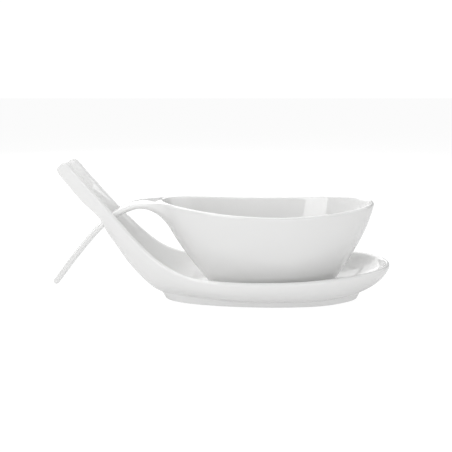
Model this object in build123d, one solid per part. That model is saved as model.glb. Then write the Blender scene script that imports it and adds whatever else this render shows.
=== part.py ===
from build123d import *
import math
import os

# A sauce boat that stands in its own saucer. The boat's handle is an arched tail, and the saucer's
# handle is an upswept two-pronged fork, so the tail passes down between the prongs.
# Frame: Z up, origin on the table under the middle of the set, handles towards -X, pouring end +X.

# Driving dimensions of the saucer, in millimetres
SAUCER_END = 129.8              # outermost point of the rim, away from the handle
SAUCER_HALF_WIDTH = 48.4        # widest half-width of the dish
SAUCER_WIDEST_AT = 45.0
SAUCER_WALL = 3.9
SAUCER_UNDERSIDE = 4.6          # lowest part of the dish, which the foot ring carries
SAUCER_FLOOR = 8.6              # floor of the well that the boat stands in
SEAT = 8.4                      # the boat's foot stands on this part of the floor, ground flat
SEAT_MARGIN = 1.2
BOWL_POWER = 1.75               # roundness of the dish's wall
ROUND_END_POWER = 2.15          # roundness of the dish's end, seen from above
NOSE_START = 90.0               # from here the underside rises towards the round end
FOOT_LEFT, FOOT_RIGHT = -43.6, 106.0
FOOT_HALF_WIDTH = 25.5          # at the table
FOOT_WIDEST_AT = 40.0
FOOT_NOSE = 0.18                # how much narrower the foot gets towards its right end
FOOT_RING_WIDTH = 4.5
FOOT_DEPTH = 5.0                # recess inside the foot ring
FOOT_TOP = 10.0                 # the foot's outer wall runs up into the dish to this height
FOOT_SPREAD = (6.3, 4.6, 7.8)   # how far it has spread there at its left, its right and its sides
SLOT_HALF_WIDTH = 9.9           # gap between the prongs
SLOT_END = (-92.6, 59.8)        # centre of the gap's round lower end, x and z
TROUGH_SLOPE = 57.0             # degrees above horizontal
DISH_SPAN = (-134.0, 140.0)     # blanks for cutting reach a little past the set
BLANK_TOP, BLANK_BOTTOM, BLANK_DEPTH = 120.0, -5.0, 120.0

# Driving dimensions of the boat. Over a rise r above its foot, each size of the bowl is
# start + lean * r + easing * r ** power.
BOAT_BASE = SEAT
BOAT_WIDEST_AT = 42.0
BOAT_LEFT = (-5.6, -0.8047, 3.893e-5, 3)
BOAT_RIGHT = (83.2, 0.6273, -3.243e-5, 3)
BOAT_HALF_WIDTH = (23.6, 0.6098, -0.003673, 2)
BOAT_TOP = 84.0                 # height of the uncut bowl, above the highest point of the rim
BOAT_WALL = 3.6
WALL_SLANT = (1.22, 1.14, 1.08)  # the leaning wall measures this much more on the level
BOAT_FLOOR = 13.0
FLOOR_ROUNDING = 11.0           # radius between the boat's floor and its walls inside
BOAT_FOOT_RECESS = 1.4
BOAT_FOOT_WIDTH = 4.0

# Key points of the curves that shape the saucer along its length: (x, value)
RIM_HEIGHT = [(-134, 134.0), (-112, 107.1), (-94, 85.0), (-79, 66.9), (-64, 50.5), (-49, 37.3),
              (-34, 29.4), (-15, 26.0), (25, 25.0), (65, 26.2), (100, 28.6), (130, 30.0)]
HALF_WIDTH = [(-134, 15.1), (-112, 15.4), (-93.8, 16.3), (-79.3, 18.2), (-64.1, 22.2),
              (-49.1, 27.2), (-33.8, 34.4), (-15, 42.6), (10, 47.2), (45, 48.4)]
BELLY_HEIGHT = [(-134, 93.0), (-112, 72.0), (-98, 62.5), (-86, 49.4), (-74.5, 32.0), (-62.9, 18.0),
                (-55.2, 10.6), (-46, 5.6), (-36, 4.6)]
FLAT_HALF_WIDTH = [(-134, 8.0), (-112, 7.5), (-95, 4.0), (-80, 1.0), (-50, 1.0), (-20, 14.0),
                   (20, 24.0), (60, 24.0), (85, 15.0), (104, 1.0)]
FLAT_SHARE = 0.6                # the flat never takes up more of the width than this

# Side view of the prongs: the waist of their lower edge, and round their tips to the rim (x, z)
PRONG_WAIST = [(-87.0, 52.0), (-89.2, 58.6), (-91.2, 64.4), (-95.7, 70.1), (-101.3, 75.5)]
PRONG_TIP = [(-120.9, 99.1), (-121.7, 104.0), (-117.4, 108.3), (-112.6, 107.7)]
PRONG_RISE = (-0.635, 0.773)    # direction of the prongs in side view
WAIST_RISE = (-0.2, 1.0)

# The boat's rim in side view (x, z), which sags in the middle
BOAT_RIM = [(-60, 79.2), (-46, 77.9), (-5, 74.1), (33, 72.4), (75, 73.8), (112, 76.9), (125, 77.8)]

# The tail handle: (x, z, half-width, half-thickness) of its sections, from the bowl to the tip
TAIL = [(-31.0, 67.2, 16.5, 8.0), (-37.5, 68.4, 15.4, 9.6), (-43.0, 70.4, 14.4, 7.9),
        (-48.2, 72.5, 13.2, 5.8), (-54.0, 74.1, 11.7, 4.1), (-61.0, 74.8, 10.1, 3.2),
        (-69.0, 73.1, 8.8, 3.0), (-77.0, 69.5, 7.7, 2.8), (-84.6, 64.8, 7.0, 2.6),
        (-91.8, 58.9, 6.6, 2.5), (-98.8, 51.6, 6.2, 2.4), (-106.8, 42.4, 6.0, 2.4),
        (-115.5, 31.8, 5.7, 2.4), (-123.6, 21.2, 5.4, 2.4), (-129.6, 13.4, 5.0, 2.3),
        (-130.9, 11.7, 3.4, 1.3)]


def through(points, x):
    """Smooth curve through the key points, by cubic pieces with averaged slopes."""
    x = min(max(x, points[0][0]), points[-1][0])
    last = len(points) - 2
    i = min(max(j for j in range(last + 1) if points[j][0] <= x), last)

    def chord(j):
        return (points[j + 1][1] - points[j][1]) / (points[j + 1][0] - points[j][0])

    def slope(j):
        if j == 0 or j == last + 1:
            return chord(0 if j == 0 else last)
        left = points[j][0] - points[j - 1][0]
        right = points[j + 1][0] - points[j][0]
        return (chord(j - 1) * right + chord(j) * left) / (left + right)

    (x0, v0), (x1, v1) = points[i], points[i + 1]
    h = x1 - x0
    t = (x - x0) / h
    return (v0 * (1 + 2 * t) * (1 - t) ** 2 + v1 * t * t * (3 - 2 * t)
            + h * slope(i) * t * (1 - t) ** 2 - h * slope(i + 1) * t * t * (1 - t))


def bowl_curve(s):
    """Wall profile: flat at s = 0 and upright at s = 1."""
    s = min(max(s, 0.0), 1.0)
    return 1 - (1 - s ** BOWL_POWER) ** (1 / BOWL_POWER)


def egg(z, left, right, half_width, widest, nose=0.0):
    """Smooth egg-shaped outline at height z, which may narrow towards its right end."""
    skew = ((left + right) / 2 - widest) / 2
    nose_start = (widest + right) / 2
    points = []
    for k in range(36):
        turn = 2 * math.pi * k / 36
        x = widest + skew + (right - left) / 2 * math.cos(turn) + skew * math.cos(2 * turn)
        into = min(max((x - nose_start) / (right - nose_start), 0), 1)
        narrow = 1 - nose * into * into * (3 - 2 * into)
        points.append((x, half_width * math.sin(turn) * narrow, z))
    return Wire(Spline(*points, periodic=True))


def side_profile(edges):
    """Block with the given outline in side view, deeper than the whole set."""
    return extrude(make_face(Wire(edges)), BLANK_DEPTH / 2, both=True)


def side_points(points):
    return [Vector(x, 0, z) for x, z in points]


# Saucer

def saucer_section(x, inset):
    """Half-width, flat half-width, lowest and rim height of the dish at x, for a skin set in."""
    end = SAUCER_END - inset
    rim = through(RIM_HEIGHT, x)
    if x < SAUCER_WIDEST_AT:
        width = through(HALF_WIDTH, x) - inset
    else:
        reach = (x - SAUCER_WIDEST_AT) / (end - SAUCER_WIDEST_AT)
        width = (SAUCER_HALF_WIDTH - inset) * (1 - reach ** ROUND_END_POWER) ** (1 / ROUND_END_POWER)
    low = through(BELLY_HEIGHT, x)
    if inset:
        rise = (through(BELLY_HEIGHT, x + 1) - through(BELLY_HEIGHT, x - 1)) / 2
        low += (SAUCER_FLOOR - SAUCER_UNDERSIDE) * inset / SAUCER_WALL * math.hypot(1, rise)
    if x > NOSE_START:
        low += (rim - low) * bowl_curve((x - NOSE_START) / (end - NOSE_START))
    flat = min(through(FLAT_HALF_WIDTH, x), FLAT_SHARE * width)
    return width, flat, low, rim


def saucer_wire(x, inset, extra_height):
    """Closed cross-section of the dish at x: the curved bottom, and straight up and across."""
    width, flat, low, rim = saucer_section(x, inset)
    half = []
    for k in range(11):
        s = math.sin(k / 10 * math.pi / 2)
        half.append((flat + (width - flat) * s, low + (rim - low) * bowl_curve(s)))
    curve = [(x, -y, z) for y, z in reversed(half)] + [(x, 0, low)] + [(x, y, z) for y, z in half]
    bottom = Spline(*curve)
    if not extra_height:
        return Wire([bottom, Line(curve[-1], curve[0])])
    top = [(x, width, rim + extra_height), (x, -width, rim + extra_height)]
    return Wire([bottom, Line(curve[-1], top[0]), Line(top[0], top[1]), Line(top[1], curve[0])])


def saucer_skin(inset, extra_height):
    """Solid dish, set in on all sides: even sections, then ever closer ones into the round end."""
    start, end = DISH_SPAN[0], SAUCER_END - inset
    even_steps, end_steps = 18, 9
    xs = [start + (SAUCER_WIDEST_AT - start) * k / even_steps for k in range(even_steps)]
    xs += [SAUCER_WIDEST_AT + (end - SAUCER_WIDEST_AT) * math.sin(k / end_steps * math.pi / 2)
           for k in range(end_steps)]
    xs.append(end - 0.05)
    return Solid.make_loft([saucer_wire(x, inset, extra_height) for x in xs])


def fork_trim():
    """All that the side view leaves of the dish: it gives the prongs their lower edge and tips."""
    waist = side_points(PRONG_WAIST)
    tip = side_points(PRONG_TIP)
    rise = Vector(PRONG_RISE[0], 0, PRONG_RISE[1])
    edges = [Spline(*waist, tangents=[Vector(WAIST_RISE[0], 0, WAIST_RISE[1]), rise]),
             Line(waist[-1], tip[0]),
             Spline(*tip, tangents=[rise, -rise])]
    around = [PRONG_TIP[-1], (-100, BLANK_TOP), (DISH_SPAN[1], BLANK_TOP),
              (DISH_SPAN[1], BLANK_BOTTOM), (-100, BLANK_BOTTOM), (-100, 30), PRONG_WAIST[0]]
    corners = side_points(around)
    return side_profile(edges + [Line(a, b) for a, b in zip(corners, corners[1:])])


def slot_cutter():
    """Gap between the prongs with its round lower end, square to the trough."""
    angle = math.radians(TROUGH_SLOPE)
    along = Vector(-math.cos(angle), 0, math.sin(angle))
    outward = Vector(-math.sin(angle), 0, -math.cos(angle))
    centre = Vector(SLOT_END[0], 0, SLOT_END[1])
    plane = Plane(origin=centre - outward * 20, x_dir=along, z_dir=outward)
    length = 70
    outline = Pos(length / 2, 0) * Rectangle(length, 2 * SLOT_HALF_WIDTH) + Circle(SLOT_HALF_WIDTH)
    return extrude(plane * outline, 45)


def foot_oval(z, left, right, side):
    """The foot's outline let out by so much at its left, its right and its sides."""
    return egg(z, FOOT_LEFT - left, FOOT_RIGHT + right, FOOT_HALF_WIDTH + side, FOOT_WIDEST_AT,
               FOOT_NOSE)


def make_saucer():
    """The dish, and its foot, which reaches halfway into the dish's wall."""
    foot = Solid.make_loft([foot_oval(0, 0, 0, 0), foot_oval(FOOT_TOP, *FOOT_SPREAD)], ruled=True)
    ring = FOOT_RING_WIDTH
    inside_foot = Solid.make_loft([foot_oval(-1, -ring, -ring, -ring),
                                   foot_oval(FOOT_DEPTH, -ring - 1, -ring - 1, -ring - 1)],
                                  ruled=True)
    foot = foot - inside_foot - saucer_skin(SAUCER_WALL / 2, 30)
    dish = (saucer_skin(0, 0) - saucer_skin(SAUCER_WALL, 30)) & fork_trim()
    seat = extrude(make_face(base_outline(SEAT, -SEAT_MARGIN)), 1)
    return (dish - slot_cutter() - seat) + foot


# Boat

def boat_size(size, z):
    start, lean, easing, power = size
    rise = z - BOAT_BASE
    return start + lean * rise + easing * rise ** power


def boat_level(z, inset=0.0):
    """Outline of the bowl at height z, set in on all sides."""
    left = boat_size(BOAT_LEFT, z) + inset * WALL_SLANT[0]
    right = boat_size(BOAT_RIGHT, z) - inset * WALL_SLANT[1]
    half_width = boat_size(BOAT_HALF_WIDTH, z) - inset * WALL_SLANT[2]
    return egg(z, left, right, half_width, BOAT_WIDEST_AT)


def base_outline(z, inset):
    return egg(z, BOAT_LEFT[0] + inset, BOAT_RIGHT[0] - inset, BOAT_HALF_WIDTH[0] - inset,
               BOAT_WIDEST_AT)


def bowl_hull():
    return Solid.make_loft([boat_level(z) for z in (BOAT_BASE, 16, 28, 40, 52, 64, 74, BOAT_TOP)])


def bowl_void():
    """Inside of the bowl: its rounded floor corner, then the wall."""
    wires = []
    for turn in (8, 25, 42, 58, 74, 90):
        rise = FLOOR_ROUNDING * (1 - math.cos(math.radians(turn)))
        pull = FLOOR_ROUNDING * (1 - math.sin(math.radians(turn)))
        wires.append(boat_level(BOAT_FLOOR + rise, BOAT_WALL + pull))
    wires += [boat_level(z, BOAT_WALL) for z in (34, 46, 58, 70, BOAT_TOP + 1)]
    return Solid.make_loft(wires)


def tail_section(index):
    x, z, half_width, half_thickness = TAIL[index]
    before = TAIL[max(index - 1, 0)]
    after = TAIL[min(index + 1, len(TAIL) - 1)]
    along = Vector(after[0] - before[0], 0, after[1] - before[1]).normalized()
    plane = Plane(origin=(x, 0, z), x_dir=(0, 1, 0), z_dir=along)
    return (plane * Ellipse(half_width, half_thickness)).wire()


def tail_handle():
    return Solid.make_loft([tail_section(k) for k in range(len(TAIL))])


def rim_trim():
    """Everything under the boat's rim line."""
    right, left = BOAT_RIM[-1], BOAT_RIM[0]
    corners = side_points([right, (right[0], 0), (left[0], 0), left])
    return side_profile([Spline(*side_points(BOAT_RIM))]
                        + [Line(a, b) for a, b in zip(corners, corners[1:])])


def make_sauce_boat():
    body = (bowl_hull() & rim_trim()) + tail_handle() - bowl_void()
    recess = Solid.make_loft([base_outline(BOAT_BASE - 1, BOAT_FOOT_WIDTH),
                              base_outline(BOAT_BASE + BOAT_FOOT_RECESS, BOAT_FOOT_WIDTH + 1.5)],
                             ruled=True)
    return body - recess


os.makedirs("parts", exist_ok=True)
for name, shape in (("saucer", make_saucer()), ("sauce_boat", make_sauce_boat())):
    export_step(shape, f"parts/{name}.step")
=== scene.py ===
import bmesh
import bpy
import math
import numpy as np
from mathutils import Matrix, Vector


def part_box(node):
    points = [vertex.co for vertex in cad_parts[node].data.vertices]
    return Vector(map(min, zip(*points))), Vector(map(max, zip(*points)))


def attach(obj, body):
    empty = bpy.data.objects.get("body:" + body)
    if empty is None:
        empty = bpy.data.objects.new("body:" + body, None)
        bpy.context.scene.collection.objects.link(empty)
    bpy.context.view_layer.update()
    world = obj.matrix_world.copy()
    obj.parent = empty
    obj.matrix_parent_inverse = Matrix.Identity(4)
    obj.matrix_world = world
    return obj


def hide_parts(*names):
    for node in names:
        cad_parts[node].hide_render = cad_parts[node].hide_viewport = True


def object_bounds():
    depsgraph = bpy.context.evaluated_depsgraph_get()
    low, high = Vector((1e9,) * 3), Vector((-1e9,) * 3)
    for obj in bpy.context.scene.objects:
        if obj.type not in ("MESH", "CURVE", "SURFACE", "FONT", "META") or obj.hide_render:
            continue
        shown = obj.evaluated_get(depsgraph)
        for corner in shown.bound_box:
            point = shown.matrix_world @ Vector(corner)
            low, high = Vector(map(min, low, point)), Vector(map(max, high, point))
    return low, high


# A white porcelain sauce boat in its saucer. Both pieces are built here as smooth glazed shells over
# their CAD solids, in millimetres, and turned into metres when their vertices are made. Each piece
# is the same on both sides of the plane y = 0, so only its half towards +Y is built, then mirrored.

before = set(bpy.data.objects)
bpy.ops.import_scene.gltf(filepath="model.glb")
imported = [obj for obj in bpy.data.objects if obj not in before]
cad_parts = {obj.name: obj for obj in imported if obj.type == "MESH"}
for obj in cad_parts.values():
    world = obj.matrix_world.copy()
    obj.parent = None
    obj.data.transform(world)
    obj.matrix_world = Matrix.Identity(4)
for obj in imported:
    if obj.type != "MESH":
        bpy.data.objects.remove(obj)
cad_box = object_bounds()
saucer_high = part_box("saucer")[1]
boat_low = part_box("sauce_boat")[0]

MM = 0.001
UP = np.array([0.0, 0.0, 1.0])
ACROSS = np.array([0.0, 1.0, 0.0])
GLAZED, UNGLAZED = 0, 1

# Saucer, in millimetres. A "rim x" names a section of the handle by where it meets the rim.
SAUCER_END = saucer_high.x / MM         # outermost point of the rim, away from the handle
SAUCER_HALF_WIDTH = saucer_high.y / MM
SAUCER_WIDEST_AT = 45.0
SAUCER_MIDDLE = 32.0                    # centre of the well, that the mesh's columns start from
SAUCER_WALL = 3.9
SAUCER_UNDERSIDE = 4.6
SEAT_GAP = 0.05
SAUCER_FLOOR = boat_low.z / MM - SEAT_GAP   # the boat's foot stands on it
SAUCER_FLOOR_BLEND = 8.0                # the floor's thickness turns into the wall's over this height
SAUCER_LIP = SAUCER_WALL / 2
BOWL_POWER = 1.75
ROUND_END_POWER = 2.15
ROUND_END_FLAT = 0.496                  # share of the way from the widest point to the rim that is flat
NOSE_FLAT = 0.03                        # more of it is flat straight towards the pouring end
WELL_FLAT = 24.0                        # half-width of the level strip along the dish, past WELL_FLAT_TO
WELL_FLAT_FROM, WELL_FLAT_TO = -50.0, 25.0
PRONG_FLAT = 8.5                        # the same between the prongs, past PRONG_FLAT_TO
PRONG_FLAT_FROM, PRONG_FLAT_TO = -86.0, -112.0
FOOT_LEFT, FOOT_RIGHT, FOOT_HALF_WIDTH, FOOT_WIDEST_AT = -43.6, 106.0, 25.5, 40.0
FOOT_FLARE = 4.2                        # how much wider the foot is where it joins the dish
FOOT_FLARE_LEFT = 0.8                   # share of the flare at the foot's left end
FOOT_NOSE = 0.18                        # how much narrower it gets towards its right end
FOOT_NOSE_FROM = 75.0
# Section of the foot ring: (distance in from the foot's outline, height)
FOOT_RING = [(-0.9, 1.3), (-0.25, 0.5), (0.2, 0.12), (0.8, 0.0), (3.6, 0.0), (4.2, 0.12),
             (4.7, 0.6), (5.2, 3.6), (5.9, 4.4), (7.5, SAUCER_UNDERSIDE)]
# Curves along the saucer: (x, value)
RIM_HEIGHT = [(-134, 134.0), (-112, 107.1), (-94, 85.0), (-79, 66.9), (-64, 50.5), (-49, 37.3),
              (-34, 29.4), (-15, 26.0), (25, 25.0), (65, 26.2), (100, 28.6), (130, 30.0)]
HALF_WIDTH = [(-134, 15.1), (-112, 15.4), (-93.8, 16.3), (-79.3, 18.2), (-64.1, 22.2),
              (-49.1, 27.2), (-33.8, 34.4), (-15, 42.6), (10, 47.2), (45, 48.4), (80, 47.2)]
BELLY_HEIGHT = [(-134, 101.8), (-120, 84.7), (-106, 67.7), (-96, 58.8), (-86, 49.4), (-74.5, 32.0),
                (-62.9, 18.0), (-55.2, 10.6), (-46, 5.6), (-36, 4.6), (-20, 4.6)]
BELLY_END = -36.0                       # the dish's underside is level to the right of it
TROUGH_START = -42.0                    # rim x where the dish becomes the handle's trough
TROUGH_LEAN = 14.5                      # the trough's middle lies this much further left than its rim
CROTCH = -71.8                          # rim x where the trough splits into two prongs
CROTCH_LENGTH = 12.5
PRONG_DEPTH = [(-112, 12.0), (-100, 12.5), (-92.3, 13.0), (-87.5, 12.4), (-82.8, 12.5), (-70, 13.6)]
PRONG_CAP = -105.0                      # rim x where the prongs start to round off
PRONG_TIP = -112.2
PRONG_TIP_BULGE = 1.25
PRONG_TIP_POWER = 3.0

# Sauce boat, in millimetres
BOAT_BASE = boat_low.z / MM
BOAT_WIDEST_AT = 42.0
# Outline of the bowl at a rise above its base, as (amount, power of the rise) terms
BOAT_LEFT = [(-5.6, 0), (-0.8047, 1), (3.893e-5, 3)]
BOAT_RIGHT = [(83.2, 0), (0.6273, 1), (-3.243e-5, 3)]
BOAT_HALF_WIDTH = [(23.6, 0), (0.6098, 1), (-0.003673, 2)]
BOAT_WALL = 3.6
BOAT_LIP = BOAT_WALL / 2
BOAT_FLOOR = 13.0
FLOOR_BEND = 9.0                        # the wall turns into the floor over this length
BASE_ROUNDING = 0.8
FOOT_RECESS = 1.4
# Section of the boat's foot: (distance in from the base's outline, height over the base)
BOAT_FOOT = [(0.2, 0.25), (0.8, 0.0), (3.3, 0.0), (3.8, 0.2), (4.2, 1.1), (5.2, FOOT_RECESS)]
BOAT_RIM = [(-60, 79.2), (-46, 77.9), (-5, 74.1), (33, 72.4), (75, 73.8), (112, 76.9), (125, 77.8)]
# Handle's sections: (x, z, half-width, half-thickness)
TAIL = [(-54.0, 74.1, 11.7, 4.1), (-61.0, 74.8, 10.1, 3.2), (-69.0, 73.1, 8.8, 3.0),
        (-77.0, 69.5, 7.7, 2.8), (-84.6, 64.8, 7.0, 2.6), (-91.8, 58.9, 6.6, 2.5),
        (-98.8, 51.6, 6.2, 2.4), (-106.8, 42.4, 6.0, 2.4), (-115.5, 31.8, 5.7, 2.35),
        (-123.6, 21.2, 5.4, 2.3), (-130.5, 12.2, 5.0, 2.2)]
TAIL_POWER = 2.4
TAIL_BREADTH = 2.4                      # its usual width over its thickness, to space its vertices

# Rows and columns of the half meshes
RIM_COLUMNS, TROUGH_COLUMNS = 36, 14
FLOOR_ROWS, DISH_WALL_ROWS, TROUGH_ROWS = 5, 13, 12
CROTCH_ROWS, PRONG_ROWS, CAP_ROWS = 8, 8, 4
BOAT_COLUMNS, BOAT_ROWS, INSIDE_ROWS = 48, 20, 38
ROOT_COLUMNS, ROOT_ROWS = 7, 6          # the part of the boat's wall that the handle grows from
ROOT_POWER = 0.8                        # how square the edge of that part is
RELAX_TIMES, RELAX_FROM_ROW, RELAX_FROM_COLUMN = 80, 4, 29
BLEND_ROWS, TAIL_ROWS, TIP_ROWS = 14, 33, 5

# Colours
SAUCER_WHITE = (0.9, 0.9, 0.895)
BOAT_WHITE = (0.87, 0.87, 0.865)
CLAY_DARK, CLAY_LIGHT = (0.66, 0.63, 0.58), (0.74, 0.72, 0.68)

# Studio
SURROUND = 0.28                         # light that comes from all sides
SURROUND_SEEN = 1.05                    # how bright the camera sees it
FLOOR_GREY = (0.5, 0.5, 0.5, 1)
FLOOR_GLOW = 0.29                       # light that comes from the floor itself
FLOOR_SEEN = 0.93                       # how bright the camera sees the floor, before shadows
FLOOR_SHADE = (0.12, 0.12, 0.12, 1)     # how much the shadows on it show
FLOOR_HALF_SIDE = 30.0
LIGHTS_AIM = Vector((0, 0, 0.04))
# Azimuth and elevation in degrees, distance, width and height in metres, power in watts
SOFTBOXES = {
    "back_left": (140, 28, 1.2, 1.0, 0.8, 5.0),
    "back": (180, 28, 1.2, 1.0, 0.6, 3.0),
    "top": (130, 70, 1.2, 1.2, 0.8, 8.0),
    "right": (-90, 28, 1.2, 1.0, 0.8, 2.5),
    "front_left": (31, 26, 1.1, 0.5, 0.85, 3.3),
    "front_low": (-14, 5.5, 1.2, 1.2, 0.25, 2.8),
}
CAMERA_ELEVATION = math.radians(11.6)
CAMERA_DISTANCE = 0.4928
CAMERA_LENS = 50.97
CAMERA_AIM = Vector((0.0043, 0, 0.00295))   # from the middle of the CAD box


class Curve:
    """Smooth curve through key points (position, value): a natural cubic spline."""

    def __init__(self, points):
        self.at, self.value = np.array(points, float).T
        step = np.diff(self.at)
        slope = np.diff(self.value) / step
        matrix = np.eye(len(self.at))
        bend = np.zeros(len(self.at))
        for i in range(1, len(self.at) - 1):
            matrix[i, i - 1:i + 2] = step[i - 1], 2 * (step[i - 1] + step[i]), step[i]
            bend[i] = 6 * (slope[i] - slope[i - 1])
        self.bend = np.linalg.solve(matrix, bend)

    def __call__(self, x):
        x = np.clip(x, self.at[0], self.at[-1])
        i = np.clip(np.searchsorted(self.at, x) - 1, 0, len(self.at) - 2)
        step = self.at[i + 1] - self.at[i]
        b = (x - self.at[i]) / step
        a = 1 - b
        sag = (a ** 3 - a) * self.bend[i] + (b ** 3 - b) * self.bend[i + 1]
        return a * self.value[i] + b * self.value[i + 1] + sag * step ** 2 / 6


def smooth_step(x, start, end):
    t = np.clip((x - start) / (end - start), 0, 1)
    return t * t * (3 - 2 * t)


def spread(line, count, start=0.0, stop=0.0):
    """Evenly spaced points along a line, which leave out a length at each end."""
    line = np.asarray(line, float)
    along = np.concatenate([[0], np.cumsum(np.linalg.norm(np.diff(line, axis=0), axis=1))])
    at = np.linspace(start, along[-1] - stop, count)
    return np.stack([np.interp(at, along, line[:, k]) for k in range(3)], axis=1)


def unit(v):
    return v / np.linalg.norm(v)


def places(vertices):
    """Positions of mesh vertices, in millimetres."""
    return [np.array(v.co) / MM for v in vertices]


def tangents_along(points):
    """Directions along a line of points that crosses the mirror plane squarely at both ends."""
    return [ACROSS] + [b - a for a, b in zip(points, points[2:])] + [-ACROSS]


def egg(turn, left, right, half_width, widest):
    """Point of a smooth egg-shaped outline. Turn 0 is its right end and pi its left end."""
    middle = (left + right) / 2
    skew = (middle - widest) / 2
    x = widest + skew + (right - left) / 2 * np.cos(turn) + skew * np.cos(2 * turn)
    return x, half_width * np.sin(turn)


class HalfShell:
    """The mesh of one piece's half, and the object made from it."""

    def __init__(self):
        self.bm = bmesh.new()

    def row(self, points):
        return [self.bm.verts.new(Vector(p) * MM) for p in points]

    def skin(self, rows, material=GLAZED):
        """Faces between neighbouring rows of vertices. A row of one vertex closes like a fan."""
        for one, two in zip(rows, rows[1:]):
            for k in range(max(len(one), len(two)) - 1):
                corners = [one[min(k, len(one) - 1)], one[min(k + 1, len(one) - 1)],
                           two[min(k + 1, len(two) - 1)], two[min(k, len(two) - 1)]]
                face = self.bm.faces.new(dict.fromkeys(corners))
                face.material_index = material
                face.smooth = True

    def normals(self, rows, outward):
        """Unit normals at the vertices of the skin made so far, on the side given for the first."""
        self.bm.normal_update()
        found = [[np.array(v.normal) for v in row] for row in rows]
        sign = 1 if found[0][0] @ outward > 0 else -1
        for row, directions in zip(rows, found):
            for k, v in enumerate(row):
                on_mirror = abs(v.co.y) < 1e-9
                directions[k] = unit(sign * directions[k] * ((1, 0, 1) if on_mirror else (1, 1, 1)))
        return found

    def to_object(self, name, materials):
        loose = [v for v in self.bm.verts if not v.link_faces]
        bmesh.ops.delete(self.bm, geom=loose, context="VERTS")
        geometry = self.bm.verts[:] + self.bm.edges[:] + self.bm.faces[:]
        bmesh.ops.mirror(self.bm, geom=geometry, axis="Y", merge_dist=1e-6)
        bmesh.ops.recalc_face_normals(self.bm, faces=self.bm.faces)
        mesh = bpy.data.meshes.new(name)
        self.bm.to_mesh(mesh)
        self.bm.free()
        for material in materials:
            mesh.materials.append(material)
        piece = bpy.data.objects.new(name, mesh)
        bpy.context.scene.collection.objects.link(piece)
        finer = piece.modifiers.new("finer", "SUBSURF")
        finer.levels = finer.render_levels = 1
        return piece


def lip_rows(edge, normal, tangent, radius, steps=6):
    """Rows that round off a wall's edge, from its outer face over the crest to its inner face."""
    rows = []
    for step in range(1, steps + 1):
        turn = math.pi * step / steps
        row = []
        for point, out, along in zip(edge, normal, tangent):
            over = unit(np.cross(out, along))
            row.append(point - radius * out + radius * (math.cos(turn) * out + math.sin(turn) * over))
        rows.append(row)
    return rows


# ---------------------------------------------------------------- saucer

rim_height = Curve(RIM_HEIGHT)
half_width = Curve(HALF_WIDTH)
belly_height = Curve(BELLY_HEIGHT)
prong_depth = Curve(PRONG_DEPTH)


def bowl(s):
    """Wall profile of the dish: level at s = 0 and upright at s = 1."""
    return 1 - (1 - np.clip(s, 0, 1) ** BOWL_POWER) ** (1 / BOWL_POWER)


def bowl_inverse(rise):
    """The s at which the wall profile reaches a rise."""
    return (1 - (1 - np.clip(rise, 0, 1)) ** BOWL_POWER) ** (1 / BOWL_POWER)


def flat_half_width(x):
    """Half-width of the level strip along the middle of the dish, and of the trough's hull."""
    return (WELL_FLAT * smooth_step(x, WELL_FLAT_FROM, WELL_FLAT_TO)
            + PRONG_FLAT * smooth_step(x, PRONG_FLAT_FROM, PRONG_FLAT_TO))


def lowest(x):
    """Height of the outer face along the saucer's middle plane."""
    return np.where(x > BELLY_END, SAUCER_UNDERSIDE, np.maximum(belly_height(x), SAUCER_UNDERSIDE))


def end_reach(angle):
    """Distance from the widest point to the rim's round end, seen from above."""
    a = np.abs(np.cos(angle)) / (SAUCER_END - SAUCER_WIDEST_AT)
    b = np.abs(np.sin(angle)) / SAUCER_HALF_WIDTH
    return (a ** ROUND_END_POWER + b ** ROUND_END_POWER) ** (-1 / ROUND_END_POWER)


def underside(x, y):
    """Height of the saucer's outer face over a point of its plan."""
    flat = flat_half_width(x)
    side = (y - flat) / (half_width(x) - flat)
    angle = np.arctan2(y, np.maximum(x - SAUCER_WIDEST_AT, 0))
    reach = end_reach(angle)
    level = ROUND_END_FLAT + NOSE_FLAT * np.cos(angle) ** 2
    end = (np.hypot(x - SAUCER_WIDEST_AT, y) / reach - level) / (1 - level)
    in_end = x > SAUCER_WIDEST_AT
    rim = rim_height(np.where(in_end, SAUCER_WIDEST_AT + reach * np.cos(angle), x))
    low = lowest(x)
    return low + (rim - low) * bowl(np.where(in_end, end, side))


def rim_outline():
    """The rim from the round end to the start of the trough."""
    angle = np.linspace(0, math.pi / 2, 200)
    end_x = SAUCER_WIDEST_AT + end_reach(angle) * np.cos(angle)
    end_y = end_reach(angle) * np.sin(angle)
    side_x = np.linspace(SAUCER_WIDEST_AT, TROUGH_START, 200)[1:]
    x = np.concatenate([end_x, side_x])
    y = np.concatenate([end_y, half_width(side_x)])
    return np.stack([x, y, rim_height(x)], axis=1)


def trough_section(rim_x, lower_edge=0.0):
    """Outer face across the handle's trough, from its middle, or a prong's edge, to the rim."""
    s = np.sin(np.linspace(math.asin(lower_edge), math.pi / 2, 160))
    x = rim_x - TROUGH_LEAN * (1 - bowl(s))
    flat = flat_half_width(x)
    z = lowest(x) + (rim_height(x) - lowest(x)) * bowl(s)
    points = np.stack([x, flat + (half_width(x) - flat) * s, z], axis=1)
    if lower_edge == 0:
        middle = np.array([[points[0, 0], 0.0, points[0, 2]]])
        points = np.concatenate([middle, points])
    return points


def prong_edge(rim_x):
    """Where the gap's edge crosses the section at rim_x: it starts round and then runs straight."""
    belly_x = rim_x - TROUGH_LEAN
    depth = math.hypot(TROUGH_LEAN, rim_height(rim_x) - lowest(belly_x))
    straight = bowl_inverse(1 - (prong_depth(rim_x) - SAUCER_LIP) / depth)
    into = min((CROTCH - rim_x) / CROTCH_LENGTH, 1.0)
    return float(straight * math.sqrt(1 - (1 - into) ** 2))


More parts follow.
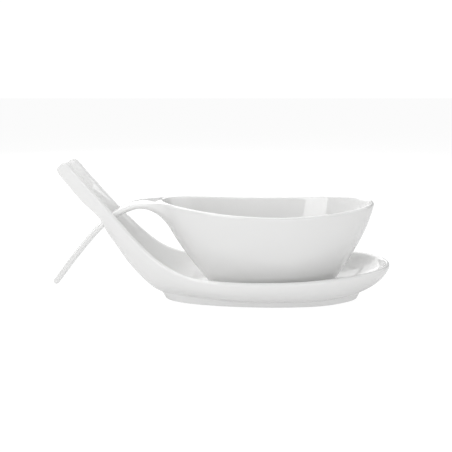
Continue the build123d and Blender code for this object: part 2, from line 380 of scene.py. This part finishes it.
def foot_outline(flare):
    """Half of the foot's outline, let out by a flare, from its right end to its left."""
    turn = np.linspace(0, math.pi, 400)
    left, right = FOOT_LEFT - FOOT_FLARE_LEFT * flare, FOOT_RIGHT + flare
    x, y = egg(turn, left, right, FOOT_HALF_WIDTH + flare, FOOT_WIDEST_AT)
    return x, y * (1 - FOOT_NOSE * smooth_step(x, FOOT_NOSE_FROM, FOOT_RIGHT))


def ray_to(end, outline):
    """Share of the way from the saucer's middle to a plan point at which an outline is crossed."""
    angle = math.atan2(end[1], end[0] - SAUCER_MIDDLE)
    x, y = outline
    radius = np.interp(angle, np.arctan2(y, x - SAUCER_MIDDLE), np.hypot(x - SAUCER_MIDDLE, y))
    return radius / math.hypot(end[0] - SAUCER_MIDDLE, end[1])


def column(end, share):
    """Points of the dish's outer face on the way from its middle to a point of its plan."""
    x, y = SAUCER_MIDDLE + (end[0] - SAUCER_MIDDLE) * share, end[1] * share
    return np.stack([x, y, underside(x, y)], axis=1)


def dish_columns():
    """The dish's outer face as columns of points, from near its middle out to the rim or the trough."""
    joint = foot_outline(FOOT_FLARE)
    rim = spread(rim_outline(), RIM_COLUMNS + 1)[:-1]
    first_section = spread(trough_section(TROUGH_START), TROUGH_COLUMNS + 1, stop=SAUCER_LIP)
    columns = []
    for index, end in enumerate(np.concatenate([rim, first_section[::-1]])):
        at_joint = ray_to(end, joint)
        inside = np.linspace(0, at_joint, FLOOR_ROWS + 1)[1:-1]
        outside = at_joint + (1 - at_joint) * np.sin(np.linspace(0, math.pi / 2, 200))
        lip = SAUCER_LIP if index < RIM_COLUMNS else 0
        wall = spread(column(end, outside), DISH_WALL_ROWS + 1, stop=lip)
        columns.append(np.concatenate([column(end, inside), wall]))
    return columns


def handle_section(rim_x, lower_edge=0.0):
    """Evenly spaced points of one of the handle's sections, from its lip down."""
    line = trough_section(rim_x, lower_edge)
    return spread(line, TROUGH_COLUMNS + 1, stop=SAUCER_LIP)[::-1]


def handle_sections():
    """Sections of the trough's outer face and then of a prong's, up to the prong's rounded tip."""
    sections = [handle_section(rim_x) for rim_x in np.linspace(TROUGH_START, CROTCH, TROUGH_ROWS + 1)[1:]]
    round_part = CROTCH - CROTCH_LENGTH * (1 - np.cos(np.linspace(0, math.pi / 2, CROTCH_ROWS + 1)[1:]))
    straight_part = np.linspace(round_part[-1], PRONG_CAP, PRONG_ROWS + 1)[1:]
    for rim_x in [*round_part, *straight_part]:
        sections.append(handle_section(rim_x, prong_edge(rim_x)))
    across = np.abs(np.linspace(1, -1, TROUGH_COLUMNS + 1))
    cap_end = PRONG_TIP - PRONG_TIP_BULGE * (1 - across ** PRONG_TIP_POWER) ** (1 / PRONG_TIP_POWER)
    for share in np.linspace(0, 1, CAP_ROWS + 1)[1:]:
        cap = PRONG_CAP + (cap_end - PRONG_CAP) * share
        sections.append([handle_section(rim_x, prong_edge(rim_x))[k] for k, rim_x in enumerate(cap)])
    return sections


def saucer_inside(point, outward):
    """Point of the inner face opposite one of the outer face. The floor is thinner than the wall."""
    floor_share = 1 - smooth_step(point[2], SAUCER_UNDERSIDE, SAUCER_UNDERSIDE + SAUCER_FLOOR_BLEND)
    thinner = (SAUCER_WALL - (SAUCER_FLOOR - SAUCER_UNDERSIDE)) * floor_share
    return point - (SAUCER_WALL - thinner) * outward


def free_edge(dish, sections):
    """What lies along the rim, over the prong's tip and back down the gap to the crotch."""
    tip = sections[-1][1:]
    gap = [section[-1] for section in sections[-2:TROUGH_ROWS - 1:-1]]
    return dish[-1][:RIM_COLUMNS] + [section[0] for section in sections] + tip + gap


def split_rows(rows, dish_rows):
    """Rows of the whole face parted into the dish's and the handle's, which share one row's end."""
    dish = rows[1:dish_rows + 1]
    return dish, [dish[-1][RIM_COLUMNS:]] + rows[dish_rows + 1:]


def add_saucer_foot(shell, joint):
    """The foot ring, from the vertices where it joins the dish to the middle. What it stands on is bare."""
    outline = foot_outline(0)
    top = places(joint)
    feet = []
    for point in top:
        share = ray_to(point, outline)
        feet.append(np.array([SAUCER_MIDDLE + (point[0] - SAUCER_MIDDLE) * share, point[1] * share, 0]))
    inwards = [unit(np.array([SAUCER_MIDDLE, 0, 0]) - point) for point in feet]
    rows = [joint, shell.row([low + (high - low) * 0.9 for high, low in zip(top, feet)])]
    for inset, height in FOOT_RING:
        rows.append(shell.row([p + inset * d + height * UP for p, d in zip(feet, inwards)]))
    shell.skin(rows[:6])
    shell.skin(rows[5:7], UNGLAZED)
    centre = np.array([SAUCER_MIDDLE, 0, SAUCER_UNDERSIDE])
    flat = places(rows[-1])
    for share in (0.66, 0.33):
        rows.append(shell.row([centre + (point - centre) * share for point in flat]))
    shell.skin(rows[6:] + [shell.row([centre])])


def make_saucer(materials):
    shell = HalfShell()
    rows = [shell.row(points) for points in zip(*dish_columns())]
    middle = shell.row([(SAUCER_MIDDLE, 0, SAUCER_UNDERSIDE)])
    sections = [rows[-1][RIM_COLUMNS:]] + [shell.row(points) for points in handle_sections()]
    joint_row = FLOOR_ROWS - 1

    # The whole outer face gives the normals for the inner one; the foot ring then takes its middle
    outer = [middle] + rows + sections[1:]
    shell.skin([middle] + rows)
    shell.skin(sections)
    normals = shell.normals(outer, -UP)
    under_foot = set(middle + sum(rows[:joint_row + 1], []))
    hidden = [face for face in shell.bm.faces if all(v in under_foot for v in face.verts)]
    inner = [shell.row([saucer_inside(*pair) for pair in zip(places(row), directions)])
             for row, directions in zip(outer, normals)]
    bmesh.ops.delete(shell.bm, geom=hidden, context="FACES")
    inner_rows, inner_sections = split_rows(inner, len(rows))
    shell.skin(inner[:1] + inner_rows)
    shell.skin(inner_sections)

    outer_edge = free_edge(rows, sections)
    directions = free_edge(*split_rows(normals, len(rows)))
    points = places(outer_edge)
    lip = lip_rows(points, directions, tangents_along(points), SAUCER_LIP)[:-1]
    shell.skin([outer_edge] + [shell.row(row) for row in lip] + [free_edge(inner_rows, inner_sections)])
    add_saucer_foot(shell, rows[joint_row])
    return shell.to_object("saucer_shell", materials)


# ---------------------------------------------------------------- sauce boat

boat_rim = Curve(BOAT_RIM)


def at_rise(terms, rise):
    return sum(amount * rise ** power for amount, power in terms)


def boat_face(turn, z):
    """Point of the boat's outer face, at a turn around the bowl and a height."""
    outline = [at_rise(terms, z - BOAT_BASE) for terms in (BOAT_LEFT, BOAT_RIGHT, BOAT_HALF_WIDTH)]
    return np.array([*egg(turn, *outline, BOAT_WIDEST_AT), z])


def boat_normal(turn, z):
    around = boat_face(turn + 1e-4, z) - boat_face(turn - 1e-4, z)
    upward = boat_face(turn, z + 1e-3) - boat_face(turn, z - 1e-3)
    return unit(np.cross(around, upward))


def wall_top(turn):
    """Height at which the boat's outer face meets its rounded lip."""
    z = boat_rim(BOAT_WIDEST_AT)
    for _ in range(8):
        z = boat_rim(boat_face(turn, z)[0]) - BOAT_LIP
    return float(z)


def boat_inside(turn):
    """Inner face from the lip down the wall and round into the floor, to the middle."""
    wall = []
    for z in np.linspace(wall_top(turn), BOAT_BASE, 120):
        wall.append(boat_face(turn, z) - BOAT_WALL * boat_normal(turn, z))
    wall = np.array([p for p in wall if p[2] > BOAT_FLOOR])
    corner = wall[-1]
    straight = spread(wall, 60, stop=FLOOR_BEND)
    middle = np.array([BOAT_WIDEST_AT, 0, BOAT_FLOOR])
    turned = corner + unit(middle - corner) * FLOOR_BEND
    turned[2] = BOAT_FLOOR
    t = np.linspace(0, 1, 20)[1:, None]
    bend = straight[-1] * (1 - t) ** 2 + corner * 2 * t * (1 - t) + turned * t ** 2
    return np.concatenate([straight, bend, [middle]])


class Tail:
    """The handle as sections along its arch, from where it leaves the bowl to its tip."""

    def __init__(self, section_points):
        keys = np.array(TAIL)
        at = np.concatenate([[0], np.cumsum(np.hypot(*np.diff(keys[:, :2], axis=0).T))])
        self.start = at[1]
        self.length = at[-1]
        self.x, self.z, self.wide, self.thick = (Curve(list(zip(at, keys[:, k]))) for k in range(4))
        angle = np.linspace(math.pi / 2, -math.pi / 2, 300)
        power = 2 / TAIL_POWER
        side = np.abs(np.cos(angle)) ** power
        height = np.sign(np.sin(angle)) * np.abs(np.sin(angle)) ** power
        outline = np.stack([side * TAIL_BREADTH, height, np.zeros_like(angle)], axis=1)
        self.outline = spread(outline, section_points) / (TAIL_BREADTH, 1, 1)

    def section(self, at, scale=1.0):
        """Half of the section at a length along the handle, from its top round to its bottom."""
        step = 0.01
        along = unit(np.array([self.x(at + step) - self.x(at - step), 0,
                               self.z(at + step) - self.z(at - step)]))
        up = np.cross(along, ACROSS)
        if up[2] < 0:
            up = -up
        centre = np.array([self.x(at), 0, self.z(at)])
        return [centre + (self.wide(at) * side * ACROSS + self.thick(at) * height * up) * scale
                for side, height, _ in self.outline]


FIRST_COLUMN, FIRST_ROW = BOAT_COLUMNS - ROOT_COLUMNS, BOAT_ROWS - ROOT_ROWS


def root_edge():
    """Grid places round the handle's root on the outer face: down its side, then across below it."""
    side = [(i, FIRST_COLUMN) for i in range(BOAT_ROWS, FIRST_ROW, -1)]
    return side + [(FIRST_ROW, j) for j in range(FIRST_COLUMN, BOAT_COLUMNS + 1)]


def outer_places(root):
    """Turn and share of the wall's height of each of the outer face's vertices."""
    turn, share = np.meshgrid(np.linspace(0, math.pi, BOAT_COLUMNS + 1), np.linspace(0, 1, BOAT_ROWS + 1))
    reach = math.pi - turn[0, FIRST_COLUMN]
    for k, (i, j) in enumerate(root):
        angle = math.pi / 2 * k / (len(root) - 1)
        turn[i, j] = math.pi - reach * max(math.cos(angle), 0.0) ** ROOT_POWER
        share[i, j] = 1 - ROOT_ROWS / BOAT_ROWS * math.sin(angle) ** ROOT_POWER
    for _ in range(RELAX_TIMES):
        relax_around_root(turn, share, root)
    return turn, share


def relax_around_root(turn, share, root):
    """Moves each place near the handle's root to the middle of its neighbours."""
    for i in range(RELAX_FROM_ROW, BOAT_ROWS):
        for j in range(RELAX_FROM_COLUMN, BOAT_COLUMNS + 1):
            if (i, j) in root or (i > FIRST_ROW and j > FIRST_COLUMN):
                continue
            right = j + 1 if j < BOAT_COLUMNS else j - 1
            around = [(i - 1, j), (i + 1, j), (i, j - 1), (i, right)]
            share[i, j] = sum(share[place] for place in around) / 4
            if j < BOAT_COLUMNS:
                turn[i, j] = sum(turn[place] for place in around) / 4


def add_boat_foot(shell, bottom_row, turns):
    """Underside: a rounded edge, the unglazed ring that the boat stands on, and a shallow recess."""
    base = [boat_face(turn, BOAT_BASE) for turn in turns]
    middle = np.array([BOAT_WIDEST_AT, 0, BOAT_BASE])
    rows = [bottom_row]
    for inset, rise in BOAT_FOOT:
        rows.append(shell.row([p + unit(middle - p) * inset + rise * UP for p in base]))
    shell.skin(rows[:3])
    shell.skin(rows[2:4], UNGLAZED)
    centre = middle + FOOT_RECESS * UP
    recess = [shell.row([centre + (p - middle) * share for p in base]) for share in (0.5, 0.25)]
    shell.skin(rows[3:] + recess + [shell.row([centre])])


def smooth_line(start, normal, end, beyond):
    """Points from the wall to the handle, which leave along the wall and arrive along the handle."""
    way = end - start
    reach = np.linalg.norm(way)
    leave = unit(way - (way @ normal) * normal) * reach
    arrive = unit(beyond - end) * reach
    t = np.linspace(0, 1, BLEND_ROWS + 1)[1:, None]
    return (start * (1 + 2 * t) * (1 - t) ** 2 + leave * t * (1 - t) ** 2
            + end * t * t * (3 - 2 * t) - arrive * t * t * (1 - t))


def add_handle(shell, root_vertices, root_normals):
    """The handle, which grows smoothly out of the gap left in the wall and the lip's outer half."""
    tail = Tail(len(root_vertices))
    first, beyond = tail.section(tail.start), tail.section(tail.start + 0.5)
    lines = [smooth_line(*ends) for ends in zip(places(root_vertices), root_normals, first, beyond)]
    rows = [root_vertices] + [shell.row(points) for points in zip(*lines)]
    tip = tail.thick(tail.length)
    straight_end = tail.length - tip
    for at in np.linspace(tail.start, straight_end, TAIL_ROWS + 1)[1:]:
        rows.append(shell.row(tail.section(at)))
    for angle in np.linspace(0, math.pi / 2, TIP_ROWS + 1)[1:-1]:
        rows.append(shell.row(tail.section(straight_end + tip * math.sin(angle), math.cos(angle))))
    rows.append(shell.row([(tail.x(tail.length), 0, tail.z(tail.length))]))
    shell.skin(rows)


def make_sauce_boat(materials):
    shell = HalfShell()
    root = root_edge()
    turn, share = outer_places(root)
    bottom = BOAT_BASE + BASE_ROUNDING
    outer = []
    normals = []
    for turns, shares in zip(turn, share):
        face = [(t, bottom + (wall_top(t) - bottom) * part) for t, part in zip(turns, shares)]
        outer.append(shell.row([boat_face(*place) for place in face]))
        normals.append([boat_normal(*place) for place in face])
    shell.skin(outer[:FIRST_ROW + 1])
    shell.skin([row[:FIRST_COLUMN + 1] for row in outer[FIRST_ROW:]])

    # Lip over the rim, and the inner face
    edge = places(outer[-1])
    tangents = tangents_along(edge)
    lip = [outer[-1]] + [shell.row(row) for row in lip_rows(edge, normals[-1], tangents, BOAT_LIP)]
    crest = len(lip) // 2
    shell.skin([row[:FIRST_COLUMN + 1] for row in lip[:crest + 1]])
    shell.skin(lip[crest:])
    insides = [spread(boat_inside(angle), INSIDE_ROWS + 1) for angle in turn[-1]]
    inside = [lip[-1]] + [shell.row(points) for points in list(zip(*insides))[1:-1]]
    shell.skin(inside + [shell.row([insides[0][-1]])])
    add_boat_foot(shell, outer[0], turn[0])

    # Edge of the gap for the handle: back along the lip's crest, over its outer half, round the wall
    crest_columns = range(BOAT_COLUMNS, FIRST_COLUMN - 1, -1)
    over_lip = range(crest - 1, 0, -1)
    crest_normals = [unit(np.cross(normals[-1][j], tangents[j])) for j in crest_columns]
    lip_normals = [math.cos(angle) * normals[-1][FIRST_COLUMN] + math.sin(angle) * crest_normals[-1]
                   for angle in (math.pi * k / (len(lip) - 1) for k in over_lip)]
    gap = [lip[crest][j] for j in crest_columns] + [lip[k][FIRST_COLUMN] for k in over_lip]
    gap += [outer[i][j] for i, j in root]
    add_handle(shell, gap, crest_normals + lip_normals + [normals[i][j] for i, j in root])
    return shell.to_object("sauce_boat_shell", materials)


# ---------------------------------------------------------------- materials

def new_material(name):
    material = bpy.data.materials.new(name)
    material.use_nodes = True
    nodes, links = material.node_tree.nodes, material.node_tree.links
    return material, nodes, links, nodes["Principled BSDF"]


def noise(nodes, links, scale, detail=2.0):
    place = nodes.new("ShaderNodeTexCoord")
    texture = nodes.new("ShaderNodeTexNoise")
    texture.inputs["Scale"].default_value = scale
    texture.inputs["Detail"].default_value = detail
    links.new(place.outputs["Object"], texture.inputs["Vector"])
    return texture.outputs["Fac"]


def ranged(nodes, links, value, low, high):
    """The noise value stretched to run from low to high."""
    stretch = nodes.new("ShaderNodeMapRange")
    stretch.inputs["From Min"].default_value = 0.3
    stretch.inputs["From Max"].default_value = 0.7
    stretch.inputs["To Min"].default_value = low
    stretch.inputs["To Max"].default_value = high
    links.new(value, stretch.inputs["Value"])
    return stretch.outputs["Result"]


def two_tones(nodes, links, value, one, two):
    mix = nodes.new("ShaderNodeMix")
    mix.data_type = "RGBA"
    mix.inputs["A"].default_value = (*one, 1)
    mix.inputs["B"].default_value = (*two, 1)
    links.new(value, mix.inputs["Factor"])
    return mix.outputs["Result"]


def glaze(name, tone):
    """Clear glossy glaze over white porcelain, with the slight unevenness of a fired surface."""
    material, nodes, links, shader = new_material(name)
    cloud = noise(nodes, links, 35)
    colour = two_tones(nodes, links, cloud, [c * 0.985 for c in tone], tone)
    links.new(colour, shader.inputs["Base Color"])
    links.new(ranged(nodes, links, noise(nodes, links, 90), 0.5, 0.6), shader.inputs["Roughness"])
    shader.inputs["Specular IOR Level"].default_value = 0.1
    shader.inputs["Coat Weight"].default_value = 1.0
    shader.inputs["Coat Roughness"].default_value = 0.02
    shader.inputs["Coat IOR"].default_value = 1.65
    waves = nodes.new("ShaderNodeBump")
    waves.inputs["Strength"].default_value = 0.1
    waves.inputs["Distance"].default_value = 0.0001
    links.new(noise(nodes, links, 45, 1.0), waves.inputs["Height"])
    links.new(waves.outputs["Normal"], shader.inputs["Coat Normal"])
    return material


def bare_clay(name):
    """Unglazed fired clay of the foot rings: matt, faintly warm and fine-grained."""
    material, nodes, links, shader = new_material(name)
    grain = noise(nodes, links, 1400, 4.0)
    links.new(two_tones(nodes, links, grain, CLAY_DARK, CLAY_LIGHT), shader.inputs["Base Color"])
    links.new(ranged(nodes, links, grain, 0.75, 0.9), shader.inputs["Roughness"])
    rough = nodes.new("ShaderNodeBump")
    rough.inputs["Strength"].default_value = 0.5
    rough.inputs["Distance"].default_value = 0.0001
    links.new(grain, rough.inputs["Height"])
    links.new(rough.outputs["Normal"], shader.inputs["Normal"])
    return material


# ---------------------------------------------------------------- studio

def make_floor():
    """Pale matt floor. It is lit from below too, and the camera sees it as almost evenly white."""
    material, nodes, links, shader = new_material("studio_floor")
    shader.inputs["Base Color"].default_value = FLOOR_GREY
    shader.inputs["Roughness"].default_value = 0.9
    shader.inputs["Specular IOR Level"].default_value = 0.0
    shader.inputs["Emission Color"].default_value = (1, 1, 1, 1)
    shader.inputs["Emission Strength"].default_value = FLOOR_GLOW
    white = nodes.new("ShaderNodeEmission")
    white.inputs["Strength"].default_value = FLOOR_SEEN
    shade = nodes.new("ShaderNodeBsdfDiffuse")
    shade.inputs["Color"].default_value = FLOOR_SHADE
    seen = nodes.new("ShaderNodeAddShader")
    links.new(white.outputs["Emission"], seen.inputs[0])
    links.new(shade.outputs["BSDF"], seen.inputs[1])
    path = nodes.new("ShaderNodeLightPath")
    choose = nodes.new("ShaderNodeMixShader")
    links.new(path.outputs["Is Camera Ray"], choose.inputs["Fac"])
    links.new(shader.outputs["BSDF"], choose.inputs[1])
    links.new(seen.outputs["Shader"], choose.inputs[2])
    links.new(choose.outputs["Shader"], nodes["Material Output"].inputs["Surface"])
    mesh = bpy.data.meshes.new("studio_floor")
    side = FLOOR_HALF_SIDE
    corners = [(-side, -side, 0), (side, -side, 0), (side, side, 0), (-side, side, 0)]
    mesh.from_pydata(corners, [], [(0, 1, 2, 3)])
    mesh.materials.append(material)
    floor = bpy.data.objects.new("studio_floor", mesh)
    bpy.context.scene.collection.objects.link(floor)


def make_world():
    """White all round for the camera, and an even soft light for the object."""
    world = bpy.data.worlds.new("studio")
    bpy.context.scene.world = world
    world.use_nodes = True
    nodes, links = world.node_tree.nodes, world.node_tree.links
    background = nodes["Background"]
    path = nodes.new("ShaderNodeLightPath")
    mix = nodes.new("ShaderNodeMix")
    mix.data_type = "FLOAT"
    mix.inputs["A"].default_value = SURROUND
    mix.inputs["B"].default_value = SURROUND_SEEN
    links.new(path.outputs["Is Camera Ray"], mix.inputs["Factor"])
    background.inputs["Color"].default_value = (1, 1, 1, 1)
    links.new(mix.outputs["Result"], background.inputs["Strength"])


def softbox(name, azimuth, elevation, distance, width, height, power):
    """Rectangular light that faces the object. Azimuth 0 is in front of it, 90 to its left."""
    light = bpy.data.lights.new(name, "AREA")
    light.shape = "RECTANGLE"
    light.size = width
    light.size_y = height
    light.energy = power
    a, e = math.radians(azimuth), math.radians(elevation)
    direction = Vector((-math.sin(a) * math.cos(e), -math.cos(a) * math.cos(e), math.sin(e)))
    lamp = bpy.data.objects.new(name, light)
    lamp.location = LIGHTS_AIM + direction * distance
    lamp.rotation_euler = direction.to_track_quat("Z", "Y").to_euler()
    bpy.context.scene.collection.objects.link(lamp)


def make_camera():
    camera = bpy.data.cameras.new("camera")
    camera.lens = CAMERA_LENS
    camera.sensor_width = 36.0
    direction = Vector((0, -math.cos(CAMERA_ELEVATION), math.sin(CAMERA_ELEVATION)))
    holder = bpy.data.objects.new("camera", camera)
    holder.location = (cad_box[0] + cad_box[1]) / 2 + CAMERA_AIM + direction * CAMERA_DISTANCE
    holder.rotation_euler = direction.to_track_quat("Z", "Y").to_euler()
    bpy.context.scene.collection.objects.link(holder)
    bpy.context.scene.camera = holder


make_camera()
make_floor()
make_world()
for light_name, settings in SOFTBOXES.items():
    softbox(light_name, *settings)
bpy.context.scene.view_settings.view_transform = "Standard"

clay = bare_clay("bare_clay")
saucer = make_saucer([glaze("saucer_glaze", SAUCER_WHITE), clay])
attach(saucer, "saucer")
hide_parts("saucer")
sauce_boat = make_sauce_boat([glaze("boat_glaze", BOAT_WHITE), clay])
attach(sauce_boat, "sauce_boat")
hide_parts("sauce_boat")
